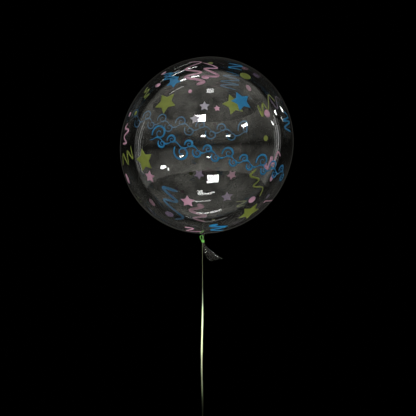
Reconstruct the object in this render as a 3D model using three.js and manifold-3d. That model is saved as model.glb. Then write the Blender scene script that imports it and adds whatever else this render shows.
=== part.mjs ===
// Clear stretched-film bubble balloon that floats upright on a flat curling ribbon.
// Millimetres, +Z up. The origin is inside the small loop that ends the ribbon, where a hook holds it.
// The front of the balloon faces -Y, and its crown leans a little towards +X.

import * as THREE from "three";
import { mergeVertices } from "three/addons/utils/BufferGeometryUtils.js";
import Module from "manifold-3d";

const wasm = await Module();
wasm.setup();

// Envelope, the inflated film
const envelopeWidth = 558;
const envelopeHeight = 569;
const crownLean = 23; // how far the crown stands towards +X from the neck
const envelopeSegments = 64;
const envelopeRings = 34;

// Neck, the film gathered below the envelope
const neckX = 2; // how far the neck stands towards +X from the ribbon's end
const neckLength = 30; // from the envelope down to the tail
const neckRadius = 3.2; // gathered film above the tie
const tiedRadius = 2.4; // film choked by the tie
const shoulderRadius = 17; // where the gathered film leaves the round of the envelope
const shoulderDrop = 6; // height over which the film turns down into the neck
const gatherFolds = 16;
const gatherDepth = 0.7; // height of the folds on the shoulder
const gatherReach = 70; // how far from the neck the folds die out

// Tail, the flattened filling spout that fans out below the tie
const tailLength = 76;
const tailThickness = 1.6;
const tailPleats = 4;
const pleatDepth = 3.4;
const lipTaper = 0.6; // the two layers meet this far past the last full section
const tailRings = 11;

// Ribbon
const ribbonWidth = 5;
const ribbonThickness = 0.8;
const ribbonTwist = 130; // degrees between its top and its end
const twistFrom = 0.22; // shares of the run between which most of the twist is
const twistTo = 0.55;
const ribbonSteps = 50;
const ribbonSides = 8;
const fitGap = 0.3;

// Tie, the ribbon wound and knotted round the neck
const tieTurns = 3;
const turnPitch = 3.1;
const turnThickness = 1.3;
const tieSegments = 24;
const tieKnotSize = new THREE.Vector3(6.4, 5.2, 7.6);
const tieKnotTurn = -115; // degrees about the neck, from +X
const knotSwell = 1.12; // how much wider a knot is than its size where a turn crosses it
const eyeWidth = 11.5; // inside the standing loop
const eyeHeight = 18.5;
const eyeTurn = -40; // degrees about +Z
const eyeLean = 11; // degrees towards -X

// End loop, where a hook or a weight holds the ribbon
const endLoopWidth = 11; // inside
const endLoopHeight = 20; // inside
const endKnotSize = new THREE.Vector3(7.4, 6.4, 6.2);
const knotBite = 1.2; // how far a knot covers the tip of its loop
const cutEndLength = 16;

const loopSteps = 26;
const knotSegments = 14;
const knotRings = 9;

// The free run of the ribbon, from the end knot up to the tie: x, y, and height above the end knot
const ribbonRoute = [
  [0.0, 0.0, 0],
  [-0.1, -0.4, 40],
  [-1.2, -0.9, 80],
  [-2.1, -1.4, 120],
  [-2.5, -1.9, 160],
  [-2.5, -2.3, 200],
  [-2.1, -2.8, 240],
  [-1.2, -3.2, 280],
  [-0.4, -3.7, 320],
  [0.1, -4.2, 360],
  [0.1, -4.6, 400],
  [-0.1, -5.0, 440],
  [-0.3, -5.4, 480],
  [-0.6, -5.7, 520],
  [-0.8, -6.0, 560],
];

// Heights that follow from the sizes above
const endKnotZ = endLoopHeight - knotBite + endKnotSize.z / 2;
const ribbonFootZ = endKnotZ + endKnotSize.z / 2 + fitGap;
const ribbonTop = ribbonRoute[ribbonRoute.length - 1];
const tieZ = ribbonFootZ + ribbonTop[2] + fitGap + tieKnotSize.z / 2;
const turnsHeight = tieTurns * turnPitch;
const tailTopZ = tieZ - turnsHeight / 2 - 2 * fitGap;
const envelopeFootZ = tailTopZ + neckLength;
const envelopeCentreZ = envelopeFootZ + envelopeHeight / 2;

const film = new THREE.MeshStandardMaterial({ color: 0xdde3e2, roughness: 0.06, metalness: 0 });
const satin = new THREE.MeshStandardMaterial({ color: 0xc9d889, roughness: 0.32, metalness: 0 });
const satinShade = new THREE.MeshStandardMaterial({ color: 0x73b45a, roughness: 0.36, metalness: 0 });

/** A named mesh of the object. */
function part(name, geometry, material) {
  const mesh = new THREE.Mesh(geometry, material);
  mesh.name = name;
  return mesh;
}

/** The geometry with its shared corners joined, so that it is one closed surface. */
function welded(geometry) {
  const plain = geometry.clone();
  plain.deleteAttribute("normal");
  plain.deleteAttribute("uv");
  return mergeVertices(plain, 1e-3);
}

/** Joins closed geometries that overlap into one closed geometry. */
function joined(geometries) {
  const solids = geometries.map((geometry) => {
    const merged = welded(geometry);
    return new wasm.Manifold(
      new wasm.Mesh({
        numProp: 3,
        vertProperties: new Float32Array(merged.attributes.position.array),
        triVerts: new Uint32Array(merged.index.array),
      }),
    );
  });
  const whole = solids.reduce((sum, solid) => sum.add(solid)).getMesh();
  const geometry = new THREE.BufferGeometry();
  geometry.setAttribute("position", new THREE.BufferAttribute(whole.vertProperties, 3));
  geometry.setIndex(new THREE.BufferAttribute(whole.triVerts, 1));
  return geometry;
}

/** Moves every corner of a geometry with a function that changes the point it is given. */
function reshaped(geometry, change) {
  const positions = geometry.attributes.position;
  const point = new THREE.Vector3();
  for (let i = 0; i < positions.count; i += 1) {
    point.fromBufferAttribute(positions, i);
    change(point);
    positions.setXYZ(i, point.x, point.y, point.z);
  }
  return geometry;
}

/** Half of the balloon's outline, from the crown down to the mouth of the tail, as radius and height. */
function balloonProfile() {
  const halfWidth = envelopeWidth / 2;
  const halfHeight = envelopeHeight / 2;
  const shoulderAngle = Math.PI - Math.asin(shoulderRadius / halfWidth);
  const profile = [new THREE.Vector2(0, envelopeCentreZ + halfHeight)];
  for (let i = 1; i <= envelopeRings; i += 1) {
    const angle = (shoulderAngle * i) / envelopeRings;
    const height = envelopeCentreZ + halfHeight * Math.cos(angle);
    profile.push(new THREE.Vector2(halfWidth * Math.sin(angle), height));
  }
  const shoulder = new THREE.QuadraticBezierCurve(
    profile[profile.length - 1],
    new THREE.Vector2(neckRadius, envelopeFootZ),
    new THREE.Vector2(neckRadius, envelopeFootZ - shoulderDrop),
  );
  profile.push(...shoulder.getPoints(4).slice(1));
  profile.push(new THREE.Vector2(tiedRadius, tieZ + turnsHeight / 2 + fitGap));
  profile.push(new THREE.Vector2(tiedRadius, tailTopZ));
  for (let i = 1; i <= tailRings; i += 1) {
    profile.push(new THREE.Vector2(tiedRadius, tailTopZ - (tailLength * i) / tailRings));
  }
  profile.push(new THREE.Vector2(tiedRadius, tailTopZ - tailLength - lipTaper));
  return profile.reverse();
}

/** The two side edges of the tail, in the XZ plane, as shares of its length from the middle of its top. */
function tailEdge(side, points) {
  const corners = points.map(([x, z]) => new THREE.Vector2(neckX + x * tailLength, tailTopZ - z * tailLength));
  const start = new THREE.Vector2(neckX + side * tiedRadius, tailTopZ);
  return new THREE.CubicBezierCurve(start, ...corners);
}

const innerEdge = tailEdge(-1, [[-0.03, 0.3], [0.04, 0.58], [0.31, 0.78]]);
const outerEdge = tailEdge(1, [[0.09, 0.14], [0.36, 0.42], [0.85, 0.68]]);

/** Spreads a point of the straight film below the tie into the flattened, pleated fan. */
function spreadTail(point) {
  const run = Math.min((tailTopZ - point.z) / tailLength, 1);
  const past = Math.max(tailTopZ - tailLength - point.z, 0);
  const across = Math.round(((point.x - neckX) / tiedRadius) * 1e5) / 1e5;
  const through = past > lipTaper / 2 ? 0 : point.y / tiedRadius;
  const inner = innerEdge.getPoint(run);
  const outer = outerEdge.getPoint(run);
  const place = inner.lerp(outer, (1 + across) / 2);
  const onward = outerEdge.getTangent(1).multiplyScalar(past);
  const flatness = THREE.MathUtils.smoothstep(run, 0, 0.3);
  const halfDepth = THREE.MathUtils.lerp(tiedRadius, tailThickness / 2, flatness);
  const pleat = pleatDepth * run * Math.sin(tailPleats * Math.PI * across);
  point.set(place.x + onward.x, halfDepth * through + pleat, place.y + onward.y);
}

/** Leans the envelope over its neck, and folds the film that gathers there. */
function shapeEnvelope(point) {
  const radius = Math.hypot(point.x - neckX, point.y);
  const turn = Math.atan2(point.y, point.x - neckX);
  if (point.z < envelopeCentreZ && radius > neckRadius) {
    const nearness = Math.max(1 - radius / gatherReach, 0);
    point.z += gatherDepth * nearness * nearness * Math.cos(gatherFolds * turn);
  }
  const rise = Math.max(point.z - envelopeFootZ, 0);
  point.x += (crownLean * rise) / envelopeHeight;
}

/** The clear film: the round envelope, its gathered neck and its fanned tail, in one piece. */
function balloon() {
  const lathe = new THREE.LatheGeometry(balloonProfile(), envelopeSegments);
  lathe.rotateX(Math.PI / 2);
  lathe.translate(neckX, 0, 0);
  reshaped(lathe, (point) => {
    if (point.z < tailTopZ - 1e-6) {
      spreadTail(point);
    } else {
      shapeEnvelope(point);
    }
  });
  return part("balloon", welded(lathe), film);
}

/** A drop-shaped outline with its point at the origin, round below, width by height. */
function dropOutline(width, height) {
  const points = [];
  for (let i = 0; i < loopSteps; i += 1) {
    const turn = (2 * Math.PI * i) / loopSteps;
    const swell = Math.sin(turn / 2) ** 1.5;
    points.push(new THREE.Vector2(Math.sin(turn) * swell, (height * (Math.cos(turn) - 1)) / 2));
  }
  const widest = Math.max(...points.map((point) => point.x));
  return points.map((point) => new THREE.Vector2((point.x * width) / (2 * widest), point.y));
}

/** A loop of ribbon: its inside is width by height, its tip is at the origin, and it hangs below. */
function ribbonLoop(width, height) {
  const outside = dropOutline(width + 2 * ribbonThickness, height + 2 * ribbonThickness);
  const shape = new THREE.Shape(outside.map((corner) => corner.add(new THREE.Vector2(0, ribbonThickness))));
  shape.holes.push(new THREE.Path(dropOutline(width, height).reverse()));
  const band = new THREE.ExtrudeGeometry(shape, { depth: ribbonWidth, bevelEnabled: false });
  band.translate(0, 0, -ribbonWidth / 2);
  return band.rotateX(Math.PI / 2);
}

/** A pulled knot: a round lump with a flat crossing turn on it. */
function knot(size) {
  const lump = new THREE.SphereGeometry(0.5, knotSegments, knotRings).rotateX(Math.PI / 2);
  reshaped(lump, (point) => {
    const waist = 1 + (knotSwell - 1) * Math.cos(4 * Math.PI * point.z);
    point.set(point.x * waist, point.y * waist, point.z);
  });
  return lump.scale(size.x, size.y, size.z);
}

/** Flat ribbon section, wide along the first axis. */
function ribbonSection() {
  const oval = new THREE.EllipseCurve(0, 0, ribbonWidth / 2, ribbonThickness / 2, 0, 2 * Math.PI);
  return new THREE.Shape(oval.getPoints(ribbonSides).slice(0, ribbonSides));
}

/** A route whose ribbon starts edge-on to the front and turns slowly about its own middle line. */
class TwistingRoute extends THREE.CatmullRomCurve3 {
  computeFrenetFrames(segments) {
    const frames = { tangents: [], normals: [], binormals: [] };
    for (let i = 0; i <= segments; i += 1) {
      const tangent = this.getTangentAt(i / segments);
      const turned = THREE.MathUtils.smoothstep(1 - i / segments, twistFrom, twistTo);
      const angle = Math.PI / 2 + THREE.MathUtils.degToRad(ribbonTwist * turned);
      const wide = new THREE.Vector3(Math.cos(angle), Math.sin(angle), 0);
      wide.addScaledVector(tangent, -wide.dot(tangent)).normalize();
      frames.tangents.push(tangent);
      frames.normals.push(wide);
      frames.binormals.push(new THREE.Vector3().crossVectors(tangent, wide));
    }
    return frames;
  }
}

/** The free run of the ribbon between its two knots. */
function ribbon() {
  const route = new TwistingRoute(ribbonRoute.map(([x, y, rise]) => new THREE.Vector3(x, y, ribbonFootZ + rise)));
  const tube = new THREE.ExtrudeGeometry(ribbonSection(), { steps: ribbonSteps, extrudePath: route });
  return part("ribbon", tube, satin);
}

/** The turns of ribbon wound round the neck, as one ring about +Z. */
function woundTurns() {
  const inside = tiedRadius + fitGap;
  const profile = [new THREE.Vector2(inside, -turnsHeight / 2)];
  for (let turn = 0; turn < tieTurns; turn += 1) {
    for (const [share, swell] of [[0.12, 0.7], [0.5, 1], [0.88, 0.7]]) {
      const height = (turn + share) * turnPitch - turnsHeight / 2;
      profile.push(new THREE.Vector2(inside + turnThickness * swell, height));
    }
  }
  profile.push(new THREE.Vector2(inside, turnsHeight / 2), profile[0].clone());
  return new THREE.LatheGeometry(profile, tieSegments).rotateX(Math.PI / 2);
}

/** The tie: the wound turns, their knot in front, and the loop that stands up beside the neck. */
function ribbonTie() {
  const knotRadius = (knotSwell * Math.max(tieKnotSize.x, tieKnotSize.y)) / 2;
  const offset = new THREE.Vector3(tiedRadius + 2 * fitGap + knotRadius, 0, 0);
  offset.applyAxisAngle(new THREE.Vector3(0, 0, 1), THREE.MathUtils.degToRad(tieKnotTurn));
  const lump = knot(tieKnotSize).translate(offset.x, offset.y, 0);
  const eye = ribbonLoop(eyeWidth, eyeHeight).rotateX(Math.PI);
  eye.rotateZ(THREE.MathUtils.degToRad(eyeTurn));
  eye.rotateY(THREE.MathUtils.degToRad(-eyeLean));
  eye.translate(offset.x, offset.y, 0);
  const tie = part("ribbon_tie", joined([woundTurns(), lump, eye]), satinShade);
  tie.position.set(neckX, 0, tieZ);
  return tie;
}

/** The loop and knot that end the ribbon, with its short cut end. */
function ribbonEndLoop() {
  const loop = ribbonLoop(endLoopWidth, endLoopHeight).translate(0, 0, endLoopHeight);
  const lump = knot(endKnotSize).translate(0, 0, endKnotZ);
  const cutEnd = new THREE.BoxGeometry(ribbonWidth, ribbonThickness, cutEndLength);
  cutEnd.translate(0, 0, -cutEndLength / 2);
  cutEnd.rotateY(THREE.MathUtils.degToRad(-38));
  cutEnd.translate(endKnotSize.x / 5, 0, endKnotZ);
  return part("ribbon_end_loop", joined([loop, lump, cutEnd]), satin);
}

const bubbleBalloon = new THREE.Group();
bubbleBalloon.add(balloon(), ribbonTie(), ribbon(), ribbonEndLoop());

export default bubbleBalloon;
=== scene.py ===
"""A clear printed bubble balloon on a curling ribbon, dressed around its CAD frame, in metres."""

import functools
import logging
import math
import operator
from dataclasses import dataclass, field
from enum import Enum

import bmesh
import bpy
from mathutils import Matrix, Vector, noise


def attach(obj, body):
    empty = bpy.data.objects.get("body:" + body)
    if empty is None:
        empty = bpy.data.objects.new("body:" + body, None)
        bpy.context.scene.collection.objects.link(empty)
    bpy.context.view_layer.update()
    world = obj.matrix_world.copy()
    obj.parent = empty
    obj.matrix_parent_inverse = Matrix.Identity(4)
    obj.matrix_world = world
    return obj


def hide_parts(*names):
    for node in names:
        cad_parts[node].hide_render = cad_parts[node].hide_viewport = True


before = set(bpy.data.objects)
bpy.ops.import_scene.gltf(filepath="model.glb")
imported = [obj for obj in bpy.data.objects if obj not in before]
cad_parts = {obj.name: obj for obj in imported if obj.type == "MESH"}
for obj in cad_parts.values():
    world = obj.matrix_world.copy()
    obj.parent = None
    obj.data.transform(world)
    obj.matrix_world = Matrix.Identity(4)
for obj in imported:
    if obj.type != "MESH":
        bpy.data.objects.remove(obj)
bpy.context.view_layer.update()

log = logging.getLogger("balloon")
MM = 0.001
UP = Vector((0.0, 0.0, 1.0))
AWAY = Vector((0.0, 1.0, 0.0))
Colour = tuple[float, float, float]
Place = tuple[float, float, float]
Span = tuple[float, float]


class Side(Enum):
    """Which half of the envelope a motif is printed on."""

    FRONT = -1
    BACK = 1


class Mirror(Enum):
    """Which film mirrors a lamp, by how many faces of film its light crosses: the near, the far or both."""

    FRONT = ("LESS_THAN", 2.5)
    BACK = ("GREATER_THAN", 2.5)
    BOTH = ("GREATER_THAN", -1.0)


class Ink(Enum):
    """The inks of the print, by the names of their materials."""

    BLUE = "ink_blue"
    PINK = "ink_pink"
    LIME = "ink_lime"
    LILAC = "ink_lilac"


# Shader groups ------------------------------------------------------------------------------------


class Graph:
    """A small helper that adds and links nodes of one node tree."""

    def __init__(self, tree: bpy.types.NodeTree) -> None:
        """Keeps the tree that nodes are added to."""
        self.tree = tree

    def add(self, kind: str, *sources: object, **values: object) -> bpy.types.Node:
        """Adds a node.

        Args:
            kind: the node's type name.
            sources: what its first inputs are fed, in order.
            values: properties of the node, or what its inputs are fed by name, with _ for a space.

        Returns:
            The new node.
        """
        node = self.tree.nodes.new(kind)
        for key, value in values.items():
            if hasattr(node, key):
                setattr(node, key, value)
            else:
                self.feed(node.inputs[key.replace("_", " ")], value)
        for socket, source in zip(node.inputs, sources):
            self.feed(socket, source)
        return node

    def feed(self, socket: bpy.types.NodeSocket, source: object) -> None:
        """Feeds an input.

        Args:
            socket: the input.
            source: an output that it is linked to, or its plain value.
        """
        if isinstance(source, bpy.types.NodeSocket):
            self.tree.links.new(source, socket)
        else:
            socket.default_value = source

    def math(self, operation: str, *sources: object) -> bpy.types.NodeSocket:
        """The result of a Math node."""
        return self.add("ShaderNodeMath", *sources, operation=operation).outputs[0]

    def vector(self, operation: str, *sources: object) -> bpy.types.NodeSocket:
        """The result of a Vector Math node."""
        return self.add("ShaderNodeVectorMath", *sources, operation=operation).outputs[0]

    def mapped(
        self, value: bpy.types.NodeSocket, span: Span, onto: Span, kind: str = "LINEAR"
    ) -> bpy.types.NodeSocket:
        """A value whose span is mapped onto another, and held beyond its ends."""
        return self.add("ShaderNodeMapRange", value, *span, *onto, interpolation_type=kind).outputs["Result"]

    def ramp(self, value: bpy.types.NodeSocket, *stops: tuple[float, Colour]) -> bpy.types.NodeSocket:
        """Colours a value.

        Args:
            value: the value.
            stops: places and their colours, in order.

        Returns:
            The colour.
        """
        node = self.add("ShaderNodeValToRGB", value)
        made = node.color_ramp.elements
        for element, (place, colour) in zip((made[0], made[1]), (stops[0], stops[-1])):
            element.position, element.color = place, (*colour, 1.0)
        for place, colour in stops[1:-1]:
            made.new(place).color = (*colour, 1.0)
        return node.outputs["Color"]


def shader_group(
    name: str, inputs: tuple[str, ...], outputs: tuple[str, ...]
) -> tuple[bpy.types.NodeTree, Graph, bpy.types.Node, bpy.types.Node]:
    """Makes an empty shader group that takes and gives values.

    Args:
        name: the group's name.
        inputs: names of its value inputs.
        outputs: names of its value outputs.

    Returns:
        The group, a graph on it, its input node and its output node.
    """
    tree = bpy.data.node_groups.new(name, "ShaderNodeTree")
    for way, sockets in (("INPUT", inputs), ("OUTPUT", outputs)):
        for socket in sockets:
            tree.interface.new_socket(name=socket, in_out=way, socket_type="NodeSocketFloat")
    graph = Graph(tree)
    return tree, graph, graph.add("NodeGroupInput"), graph.add("NodeGroupOutput")


def grain_group() -> bpy.types.NodeTree:
    """The uneven laydown of printed ink: cloudy patches under a fine screen.

    Returns:
        The group, which takes the scales of its patches and of its screen.
    """
    tree, graph, given, out = shader_group("print_grain", ("Patches", "Screen"), ("Grain",))
    place = graph.add("ShaderNodeTexCoord").outputs["Object"]
    patches = graph.add("ShaderNodeTexNoise", place, Scale=given.outputs["Patches"], Detail=3.0)
    screen = graph.add("ShaderNodeTexNoise", place, Scale=given.outputs["Screen"], Detail=1.0)
    patch_share = 0.6
    fine = graph.math("MULTIPLY", screen.outputs["Fac"], 1.0 - patch_share)
    graph.feed(out.inputs["Grain"], graph.math("MULTIPLY_ADD", patches.outputs["Fac"], patch_share, fine))
    return tree


def ribs_group() -> bpy.types.NodeTree:
    """The fine lengthwise ribs of curling ribbon, across its own UV, and its wear.

    Returns:
        The group, which takes the number of ribs across the ribbon.
    """
    tree, graph, given, out = shader_group("ribbon_ribs", ("Count",), ("Ribs", "Wear"))
    place = graph.add("ShaderNodeUVMap", uv_map="run").outputs["UV"]
    across = graph.add("ShaderNodeSeparateXYZ", place).outputs["X"]
    turns = graph.math("MULTIPLY", given.outputs["Count"], 2.0 * math.pi)
    wave = graph.math("SINE", graph.math("MULTIPLY", across, turns))
    wear = graph.add("ShaderNodeTexNoise", place, Scale=3.0, Detail=3.0)
    graph.feed(out.inputs["Ribs"], graph.mapped(wave, (-1.0, 1.0), (0.0, 1.0)))
    graph.feed(out.inputs["Wear"], wear.outputs["Fac"])
    return tree


# Finishes -----------------------------------------------------------------------------------------


def new_material(name: str, **values: object) -> tuple[bpy.types.Material, Graph, bpy.types.Node]:
    """Makes a node material.

    Args:
        name: the material's name.
        values: uniform values of its shader's inputs, by name with _ for a space.

    Returns:
        The material, a graph on its nodes, and its Principled shader.
    """
    material = bpy.data.materials.new(name)
    material.use_nodes = True
    shader = material.node_tree.nodes["Principled BSDF"]
    for key, value in values.items():
        shader.inputs[key.replace("_", " ")].default_value = value
    return material, Graph(material.node_tree), shader


@dataclass(frozen=True)
class ClearFilm:
    """Clear stretched film: glass-like, with fine streaks that run from the crown to the neck."""

    name: str = "clear_film"
    tint: Colour = (0.985, 0.99, 0.985)
    ior: float = 1.6
    roughness: float = 0.02
    axis: tuple[float, float, float] = (0.0135, 0.0, 0.0)
    streaks_round: float = 25.0
    streaks_down: float = 5.0
    streak_height: float = 0.007 * MM

    def material(self) -> bpy.types.Material:
        """Makes the film's material.

        Returns:
            The material.
        """
        material, graph, shader = new_material(
            self.name,
            Base_Color=(*self.tint, 1.0),
            Transmission_Weight=1.0,
            Metallic=0.0,
            IOR=self.ior,
            Roughness=self.roughness,
        )
        place = graph.add("ShaderNodeTexCoord").outputs["Object"]
        flat = graph.vector("MULTIPLY_ADD", place, (1.0, 1.0, 0.0), tuple(-value for value in self.axis))
        around = graph.vector("NORMALIZE", flat)
        spread = graph.add("ShaderNodeVectorMath", around, operation="SCALE", Scale=self.streaks_round)
        drawn = graph.vector("MULTIPLY_ADD", place, (0.0, 0.0, self.streaks_down), spread.outputs[0])
        streak = graph.add("ShaderNodeTexNoise", drawn, Scale=1.0, Detail=4.0, Roughness=0.6)
        bump = graph.add("ShaderNodeBump", Distance=self.streak_height, Height=streak.outputs["Fac"])
        graph.feed(shader.inputs["Normal"], bump.outputs["Normal"])
        return material


@dataclass(frozen=True)
class PrintedInk:
    """Opaque ink printed on film, a little uneven."""

    name: str
    full: Colour
    thin: Colour
    # through: the inner face's share of the ink; partly the duller look of ink seen from its back, partly
    # painted shade that dims the prints on the far half
    through: Colour = (0.56, 0.56, 0.56)
    roughness: float = 0.42
    patches: float = 70.0
    screen: float = 900.0
    thin_at: float = 0.3
    full_at: float = 0.62

    def pair(self, grain: bpy.types.NodeTree) -> list[bpy.types.Material]:
        """Makes the ink's material, and a duller copy for its inner face, partly painted shade."""
        return [self.material(grain, (1.0, 1.0, 1.0), ""), self.material(grain, self.through, "_inside_shaded")]

    def material(self, grain: bpy.types.NodeTree, share: Colour, ending: str) -> bpy.types.Material:
        """Makes one material from the shared grain.

        Args:
            grain: the shared group.
            share: how much of the ink's red, green and blue it sends back.
            ending: added to its name.

        Returns:
            The material.
        """
        material, graph, shader = new_material(self.name + ending, Roughness=self.roughness)
        laid = graph.add("ShaderNodeGroup", node_tree=grain, Patches=self.patches, Screen=self.screen)
        thin, full = (tuple(a * b for a, b in zip(share, colour)) for colour in (self.thin, self.full))
        colour = graph.ramp(laid.outputs["Grain"], (self.thin_at, thin), (self.full_at, full))
        graph.feed(shader.inputs["Base Color"], colour)
        return material


@dataclass(frozen=True)
class SatinRibbon:
    """Curling ribbon with lengthwise ribs, glossy on its ridges, with painted shade in the grooves between
    them.
    """

    name: str
    ridge: Colour
    groove_shade: Colour
    coat: float = 0.25
    coat_roughness: float = 0.15
    roughness: float = 0.34
    ribs: float = 14.0
    rib_height: float = 0.05 * MM
    ridge_at: float = 0.45

    def material(self, ribs: bpy.types.NodeTree) -> bpy.types.Material:
        """Makes the ribbon's material.

        Args:
            ribs: the shared group of ribs and wear.

        Returns:
            The material.
        """
        material, graph, shader = new_material(
            self.name, Roughness=self.roughness, Coat_Weight=self.coat, Coat_Roughness=self.coat_roughness
        )
        pattern = graph.add("ShaderNodeGroup", node_tree=ribs, Count=self.ribs)
        ribs_shade_and_wear = graph.math("MULTIPLY", pattern.outputs["Ribs"], pattern.outputs["Wear"])
        # darker in the rib grooves: painted shade; the wear noise varies the tone at random
        colour = graph.ramp(ribs_shade_and_wear, (0.0, self.groove_shade), (self.ridge_at, self.ridge))
        graph.feed(shader.inputs["Base Color"], colour)
        bump = graph.add("ShaderNodeBump", Distance=self.rib_height, Height=pattern.outputs["Ribs"])
        graph.feed(shader.inputs["Normal"], bump.outputs["Normal"])
        return material


@dataclass(frozen=True)
class PaleFloor:
    """Matt pale floor, which stays out of the mirror images on the film."""

    name: str = "pale_floor"
    shade: Colour = (0.50, 0.50, 0.49)
    light: Colour = (0.56, 0.56, 0.55)
    roughness: float = 0.8

    def material(self) -> bpy.types.Material:
        """Makes the floor's material, black to any path that was mirrored.

        Returns:
            The material.
        """
        material, graph, shader = new_material(self.name, Roughness=self.roughness)
        place = graph.add("ShaderNodeTexCoord").outputs["Object"]
        cloud = graph.add("ShaderNodeTexNoise", place, Scale=3.0, Detail=4.0)
        seen = graph.ramp(cloud.outputs["Fac"], (0.0, self.shade), (1.0, self.light))
        mirrored = graph.math("MINIMUM", graph.add("ShaderNodeLightPath").outputs["Glossy Depth"], 1.0)
        mix = graph.add("ShaderNodeMix", mirrored, data_type="RGBA")
        first, second = (socket for socket in mix.inputs if socket.type == "RGBA")
        graph.feed(first, seen)
        graph.feed(second, (0.0, 0.0, 0.0, 1.0))
        mixed = next(socket for socket in mix.outputs if socket.type == "RGBA")
        graph.feed(shader.inputs["Base Color"], mixed)
        return material


@dataclass(frozen=True)
class DimRoom:
    """Dark surroundings, of which only mirrors show anything: a dim grey room in front of the balloon.

    Each pair of spans maps a part of the direction onto a level. The bands are heights and their levels.
    """

    name: str = "dim_room"
    colour: Colour = (1.0, 0.98, 0.88)
    level: float = 0.36
    front: tuple[Span, Span] = ((0.28, 0.42), (1.0, 0.03))
    rim: tuple[Span, Span] = ((0.95, 0.975), (0.0, 0.1))
    sides: tuple[Span, Span] = ((0.5, 1.0), (1.25, 0.6))
    bands: tuple[tuple[float, float], ...] = ((0.44, 1.0), (0.49, 0.16), (0.60, 0.1), (0.70, 1.05))
    clouds: tuple[Span, Span] = ((0.35, 0.65), (0.45, 1.4))
    cloud_scale: float = 3.4

    def world(self) -> bpy.types.World:
        """Makes the world.

        Returns:
            The world.
        """
        world = bpy.data.worlds.new(self.name)
        world.use_nodes = True
        graph = Graph(world.node_tree)
        shader = world.node_tree.nodes["Background"]
        way = graph.add("ShaderNodeTexCoord").outputs["Generated"]
        right, back, up = graph.add("ShaderNodeSeparateXYZ", way).outputs
        height = graph.mapped(up, (-1.0, 1.0), (0.0, 1.0))
        bands = graph.ramp(height, *((place, (shade,) * 3) for place, shade in self.bands))
        banded = graph.math("MULTIPLY", graph.mapped(back, *self.front, "SMOOTHSTEP"), bands)
        narrowed = graph.math("MULTIPLY", banded, graph.mapped(graph.math("ABSOLUTE", right), *self.sides))
        room = graph.math("ADD", narrowed, graph.mapped(back, *self.rim, "SMOOTHSTEP"))
        mirrored = graph.math("MINIMUM", graph.add("ShaderNodeLightPath").outputs["Glossy Depth"], 1.0)
        cloud = graph.add("ShaderNodeTexNoise", way, Scale=self.cloud_scale, Detail=6.0, Roughness=0.6)
        uneven = graph.mapped(cloud.outputs["Fac"], *self.clouds)
        clouded = graph.math("MULTIPLY", graph.math("MULTIPLY", mirrored, room), uneven)
        graph.feed(shader.inputs["Strength"], graph.math("MULTIPLY", clouded, self.level))
        graph.feed(shader.inputs["Color"], (*self.colour, 1.0))
        return world


# Shared building ----------------------------------------------------------------------------------


def smoothstep(value: float, low: float, high: float) -> float:
    """Eases from 0 at low to 1 at high."""
    share = min(max((value - low) / (high - low), 0.0), 1.0)
    return share * share * (3.0 - 2.0 * share)


def through_table(table: tuple[Span, ...], at: float) -> float:
    """Reads a smooth value from a table.

    Args:
        table: rows of a place and its value.
        at: the place that is read.

    Returns:
        The value there.
    """
    for (low, first), (high, second) in zip(table, table[1:]):
        if at <= high:
            return first + (second - first) * smoothstep(at, low, high)
    return table[-1][1]


def spline(points: list[Vector], steps: int) -> list[Vector]:
    """Runs a Catmull-Rom curve through points.

    Args:
        points: the points that it passes.
        steps: pieces between each two of them.

    Returns:
        Points on the curve, both ends included.
    """
    padded = [2 * points[0] - points[1], *points, 2 * points[-1] - points[-2]]
    curve = []
    for before, start, end, after in zip(padded, padded[1:], padded[2:], padded[3:]):
        for step in range(steps):
            t = step / steps
            curve.append(
                0.5
                * (
                    2 * start
                    + (end - before) * t
                    + (2 * before - 5 * start + 4 * end - after) * t**2
                    + (3 * start - before - 3 * end + after) * t**3
                )
            )
    curve.append(points[-1].copy())
    return curve


def tangents(line: list[Vector]) -> list[Vector]:
    """The direction of a line at each of its points."""
    last = len(line) - 1
    return [(line[min(i + 1, last)] - line[max(i - 1, 0)]).normalized() for i in range(last + 1)]


def as_object(
    name: str, bm: bmesh.types.BMesh, materials: list[bpy.types.Material]
) -> bpy.types.Object:
    """Turns a built mesh into a smooth piece that rides on the body, with its materials.

    Args:
        name: the piece's name.
        bm: the mesh, which is freed.
        materials: its materials in order.

    Returns:
        The new object.
    """
    mesh = bpy.data.meshes.new(name)
    bm.to_mesh(mesh)
    bm.free()
    for material in materials:
        mesh.materials.append(material)
    mesh.shade_smooth()
    piece = bpy.data.objects.new(name, mesh)
    bpy.context.scene.collection.objects.link(piece)
    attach(piece, "root")
    return piece


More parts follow.
